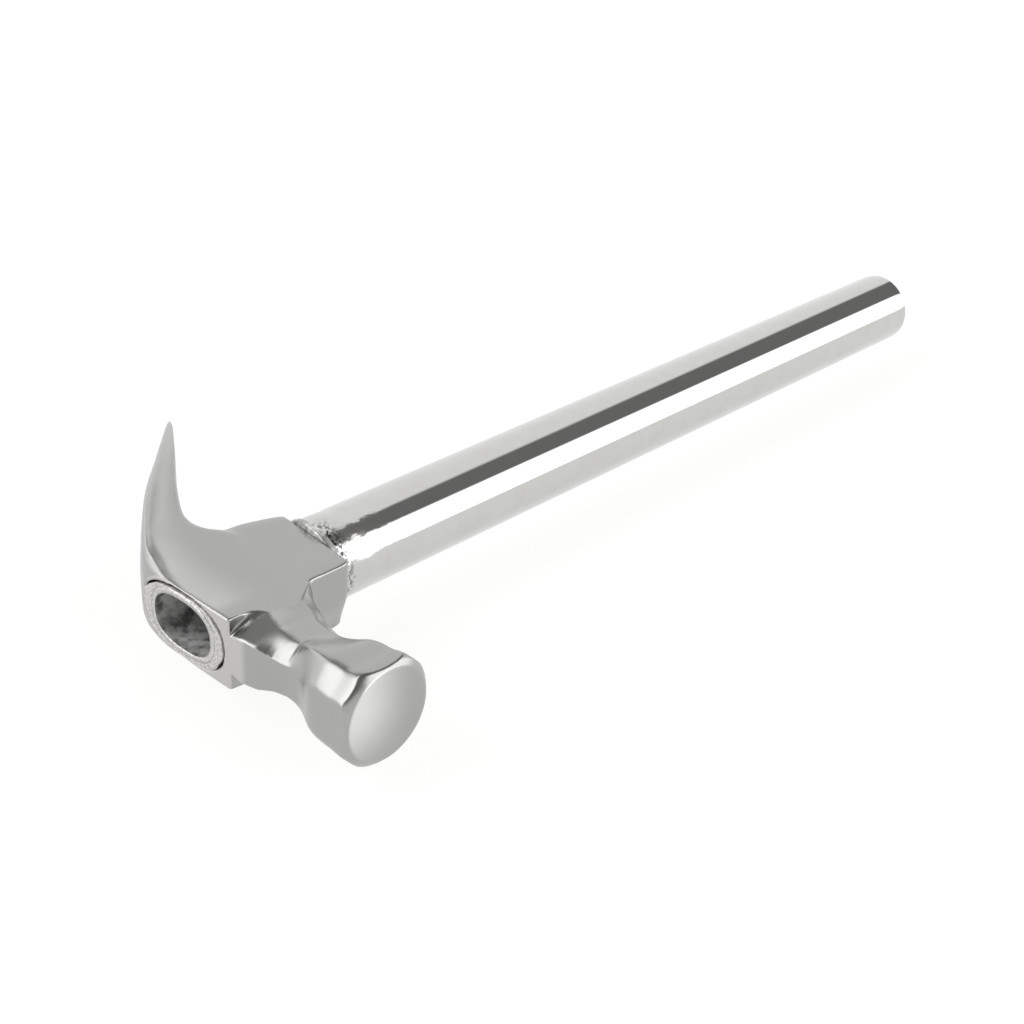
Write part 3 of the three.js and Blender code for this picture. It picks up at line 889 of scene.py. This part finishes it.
@dataclass
class EyeRing:
    """The collar that fills the eye's mouth, ground flush with the top of the head."""

    site: Site
    depth_mm: float = 6.0
    outer_y_mm: float = 16.95
    outer_z_mm: float = 10.05
    inner_y_mm: float = 13.28
    inner_z_mm: float = 9.18
    power: float = 2.5
    eye_offset_mm: float = 1.0
    gap_mm: float = 0.72
    gap_size_mm: float = 3.0
    gap_turn: float = 0.6
    gap_fade: float = 0.3
    gap_share: float = 0.85
    gap_wander: float = 0.6
    inside_share: float = 0.97
    edge_mm: float = 0.12
    inner_edge_mm: float = 0.04

    def build(self) -> bpy.types.Object:
        """Make the collar.

        Returns:
            The finished collar, with an uneven gap on the side of the striking face.
        """
        oval = Oval(self.site)
        centre = -self.eye_offset_mm
        outer = [oval.ring(depth, centre, self.outer_y_mm - inset, self.outer_z_mm - inset,
                           self.power)
                 for depth, inset in ((self.depth_mm, 0.0), (self.edge_mm, 0.0),
                                      (0.0, self.edge_mm))]
        inner = [oval.ring(depth, centre, self.inner_y_mm + inset, self.inner_z_mm + inset,
                           self.power)
                 for depth, inset in ((0.0, self.inner_edge_mm), (self.inner_edge_mm, 0.0),
                                      (self.depth_mm, 0.0))]
        mesh = sweep(outer + inner + outer[:1])
        middle_mm = (self.outer_y_mm + self.inner_y_mm) / 2
        for vert in mesh.verts:
            local = (vert.co - self.site.origin) / MM
            flat = Vector((0, (local.y - centre) / middle_mm, local.z / self.outer_z_mm))
            if flat.length < self.inside_share:
                continue
            turned = ramp(flat.z - self.gap_turn * flat.y, -self.gap_fade, 0.0)
            wander = self.gap_wander * noise.noise(local / self.gap_size_mm)
            share = turned * (self.gap_share + wander)
            vert.co -= flat.normalized() * share * self.gap_mm * MM
        ring = mesh_object("ground_eye_collar", mesh)
        ring.data.materials.append(GROUND_STEEL.make())
        join_frame(ring, "eye_ring")
        return ring


@dataclass
class ShoulderWeld:
    """The weld bead between the head's end and the tube, plated over."""

    site: Site
    start_mm: float = 45.8
    length_mm: float = 3.4
    foot_y_mm: float = 13.1
    foot_z_mm: float = 10.7
    crest_y_mm: float = 13.1
    crest_z_mm: float = 12.85
    toe_mm: float = 12.5
    crest_share: float = 0.5
    foot_power: float = 2.3
    toe_power: float = 2.0
    rows: int = 16
    ripple_mm: float = 0.16
    ripple_size_mm: float = 3.4
    ripple_level: float = -0.5

    def _half(self, share: float, foot: float, crest: float) -> float:
        """Give the bead's half size at a share of its length.

        Args:
            share: Zero at the head and one on the tube.
            foot: Its half size where it meets the head.
            crest: Its largest half size.

        Returns:
            The half size in millimetres.
        """
        if share < self.crest_share:
            rise = math.sin(math.pi / 2 * share / self.crest_share)
            return foot + (crest - foot) * rise
        fall = (share - self.crest_share) / (1 - self.crest_share)
        return self.toe_mm + (crest - self.toe_mm) * math.cos(math.pi / 2 * fall)

    def build(self) -> bpy.types.Object:
        """Make the bead.

        Returns:
            The finished bead.
        """
        oval = Oval(self.site)
        rings = []
        for row in range(self.rows + 1):
            share = row / self.rows
            half_y = self._half(share, self.foot_y_mm, self.crest_y_mm)
            half_z = self._half(share, self.foot_z_mm, self.crest_z_mm)
            rings.append(oval.ring(self.start_mm + self.length_mm * share, 0, half_y, half_z,
                                   self.foot_power + (self.toe_power - self.foot_power) * share, 1))
        tube = TubeHandle(self.site)
        half_wall = tube.wall_mm / 2
        grip = (tube.radius_mm - half_wall, tube.radius_mm - half_wall, self.toe_power)
        tenon = (tube.tenon_y_mm - half_wall, tube.tenon_z_mm - half_wall, tube.tenon_power)
        swollen = tube.shoulder_mm + tube.shoulder_length_mm * tube.swollen_share
        inside = [oval.ring(depth, 0, *size, 1) for depth, size in (
            (self.start_mm + self.length_mm, grip), (swollen, grip),
            (tube.shoulder_mm, tenon), (self.start_mm, tenon))]
        mesh = sweep(rings + inside + rings[:1])
        for vert in mesh.verts:
            local = (vert.co - self.site.origin) / MM
            ripple = noise.noise(local / self.ripple_size_mm) + self.ripple_level
            outward = Vector((0, local.y, local.z)).normalized()
            vert.co += outward * ripple * self.ripple_mm * MM
        bead = mesh_object("plated_weld_bead", mesh)
        bead.data.materials.append(WELD_STEEL.make())
        join_frame(bead, "shoulder_weld")
        return bead


class Reach(Enum):
    """What the edge of a pane of light is measured on."""

    ACROSS = "along the handle, on a ceiling one unit up"
    ALONG = "towards the claw, on the same ceiling"
    SLANT = "towards the claw, on a line turned from the handle"
    LEAN = "along the handle, on a line turned from the claw"
    HEIGHT = "height of the direction"
    SIDE = "part of the direction along the handle"


@dataclass(frozen=True)
class Pane:
    """One soft light of the room: its level and where each of its edges fades in."""

    level: float
    edges: tuple[tuple[Reach, float, float], ...]


@dataclass
class Studio:
    """Pale floor, a room of soft light and the camera of the photograph.

    To the camera, and where metal or glass shows it, the floor is a darker paint with more
    glow of its own, so its white is even and the hammer's shadow stays faint. To the rays
    that only carry light, it is a paler paint with less glow.
    """

    site: Site
    camera_mm: tuple[float, float, float] = (-223.46, -310.55, 247.65)
    pitch_deg: float = 29.19
    heading_deg: float = 48.52
    roll_deg: float = 3.47
    lens_px: float = 1713.69
    frame_px: float = 1024.0
    sensor_mm: float = 36.0
    clip_m: float = 0.01
    floor_half_m: float = 3.0
    horizon: float = 0.02
    light_colour: str = "#ffffff"
    dark: float = 0.21
    # The first pane is the pale wall all round, and the others hang in the dark ceiling.
    panes: tuple[Pane, ...] = (
        Pane(1.0, ((Reach.HEIGHT, 0.34, 0.28),)),
        Pane(1.07, ((Reach.ACROSS, 0.35, 0.62), (Reach.SLANT, -0.28, -0.12))),
        Pane(1.07, ((Reach.ALONG, 0.85, 1.1), (Reach.ACROSS, -0.15, 0.1))),
        Pane(2.36, ((Reach.ALONG, -0.74, -0.9), (Reach.ACROSS, -0.3, 0.2))),
        Pane(1.36, ((Reach.ACROSS, -0.2, -0.5), (Reach.ALONG, 1.0, 1.4),
                    (Reach.SIDE, -0.6, -0.45))),
        Pane(2.7, ((Reach.LEAN, 0.05, -0.12), (Reach.ALONG, 0.18, 0.42),
                   (Reach.ALONG, 3.0, 2.2), (Reach.HEIGHT, 0.13, 0.3))),
        Pane(2.3, ((Reach.ACROSS, 0.0, 0.1), (Reach.ACROSS, 0.68, 0.55),
                   (Reach.ALONG, 0.42, 0.5), (Reach.ALONG, 0.66, 0.58))),
    )
    slant: float = -0.34
    lean: float = 0.6
    carried_colour: str = "#eeeeec"
    carried_glow: float = 0.5
    shown_colour: str = "#8c8c8c"
    shown_glow: float = 0.83
    glow_colour: str = "#fffffe"

    def camera(self) -> bpy.types.Object:
        """Place the camera at the photograph's viewpoint.

        Returns:
            The scene's camera.
        """
        pitch, heading, roll = (math.radians(v) for v in
                                (self.pitch_deg, self.heading_deg, self.roll_deg))
        side = Vector((math.cos(heading), -math.sin(heading), 0))
        level = Vector((math.sin(heading), math.cos(heading), 0))
        ahead = level * math.cos(pitch) - Vector((0, 0, math.sin(pitch)))
        up = level * math.sin(pitch) + Vector((0, 0, math.cos(pitch)))
        right = side * math.cos(roll) + up * math.sin(roll)
        above = up * math.cos(roll) - side * math.sin(roll)
        data = bpy.data.cameras.new("camera")
        data.sensor_width = self.sensor_mm
        data.lens = self.lens_px / self.frame_px * self.sensor_mm
        data.clip_start = self.clip_m
        camera = bpy.data.objects.new("camera", data)
        bpy.context.collection.objects.link(camera)
        turn = Matrix((right, above, -ahead)).transposed().to_4x4()
        camera.matrix_world = Matrix.Translation(self.site.at(*self.camera_mm)) @ turn
        bpy.context.scene.camera = camera
        return camera

    def floor(self) -> bpy.types.Object:
        """Lay the pale floor under the hammer.

        Returns:
            The floor, as white in the metal's reflections as it is to the camera.
        """
        mesh = bmesh.new()
        bmesh.ops.create_grid(mesh, x_segments=1, y_segments=1, size=self.floor_half_m)
        floor = mesh_object("floor", mesh)
        material = bpy.data.materials.new("matt_white_sheet")
        tree = empty_tree(material)
        seen = self._shown(tree)
        paint = add_node(tree, "Mix", {0: seen, 6: linear(self.carried_colour),
                                       7: linear(self.shown_colour)}, data_type="RGBA")
        glow = add_node(tree, "MapRange", {0: seen, 3: self.carried_glow, 4: self.shown_glow})
        sheet = add_node(tree, "BsdfDiffuse", {"Color": paint.outputs[2]})
        light = add_node(tree, "Emission", {"Color": linear(self.glow_colour),
                                            "Strength": glow.outputs[0]})
        both = add_node(tree, "AddShader", {0: sheet.outputs[0], 1: light.outputs[0]})
        add_node(tree, "OutputMaterial", {"Surface": both.outputs[0]})
        floor.data.materials.append(material)
        return floor

    def _shown(self, tree: Any) -> Any:
        """Tell the rays that show the background from those that only carry light.

        Args:
            tree: The node tree to add to.

        Returns:
            A socket, one for the camera's rays and for those that metal and glass send on.
        """
        rays = add_node(tree, "LightPath").outputs
        shown = rays["Is Camera Ray"]
        for kind in ("Is Glossy Ray", "Is Transmission Ray"):
            either = add_node(tree, "Math", {0: shown, 1: rays[kind]}, operation="MAXIMUM")
            shown = either.outputs[0]
        return shown

    def world(self) -> None:
        """Light the room: a pale wall all round, soft panes of light and a dark ceiling."""
        world = bpy.data.worlds.new("studio")
        bpy.context.scene.world = world
        tree = empty_tree(world)
        way = add_node(tree, "SeparateXYZ",
                       {0: add_node(tree, "TexCoord").outputs["Generated"]}).outputs
        up = add_node(tree, "Math", {0: way[2], 1: self.horizon}, operation="MAXIMUM").outputs[0]
        across, along = (add_node(tree, "Math", {0: part, 1: up}, operation="DIVIDE").outputs[0]
                         for part in (way[0], way[1]))
        slant = add_node(tree, "Math", {0: across, 1: self.slant, 2: along},
                         operation="MULTIPLY_ADD").outputs[0]
        lean = add_node(tree, "Math", {0: along, 1: self.lean, 2: across},
                        operation="MULTIPLY_ADD").outputs[0]
        places = {Reach.ACROSS: across, Reach.ALONG: along, Reach.SLANT: slant,
                  Reach.LEAN: lean, Reach.HEIGHT: way[2], Reach.SIDE: way[0]}
        level: Any = self.dark
        for pane in self.panes:
            share = region(tree, *((places[reach], start, end) for reach, start, end in pane.edges))
            level = add_node(tree, "Mix", {0: share, 2: level, 3: pane.level}).outputs[0]
        lit = add_node(tree, "Background",
                       {"Color": linear(self.light_colour), "Strength": level})
        add_node(tree, "OutputWorld", {"Surface": lit.outputs[0]})

    def set_up(self) -> None:
        """Build the camera, the floor and the room's light."""
        bpy.context.scene.view_settings.view_transform = "Standard"
        self.camera()
        self.floor()
        self.world()


def find_site() -> Site:
    """Find the hammer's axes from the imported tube.

    Returns:
        The site of every piece.
    """
    low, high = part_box("tube_handle")
    shape = TubeHandle(Site(Vector()))
    return Site(Vector((high[0] - shape.length_mm * MM, high[1] - shape.tenon_y_mm * MM,
                        (low[2] + high[2]) / 2)))


def main() -> None:
    """Build the studio and the hammer's pieces in order."""
    logging.basicConfig(level=logging.INFO, format="%(name)s: %(message)s")
    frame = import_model()
    site = find_site()
    LOG.info("axes at %s", [round(value / MM, 3) for value in site.origin])
    Studio(site).set_up()
    ClawHead(site).build(frame["nodes"]["claw_head"])
    TubeHandle(site).build()
    EyeRing(site).build()
    ShoulderWeld(site).build()


if __name__ == "__main__":
    main()
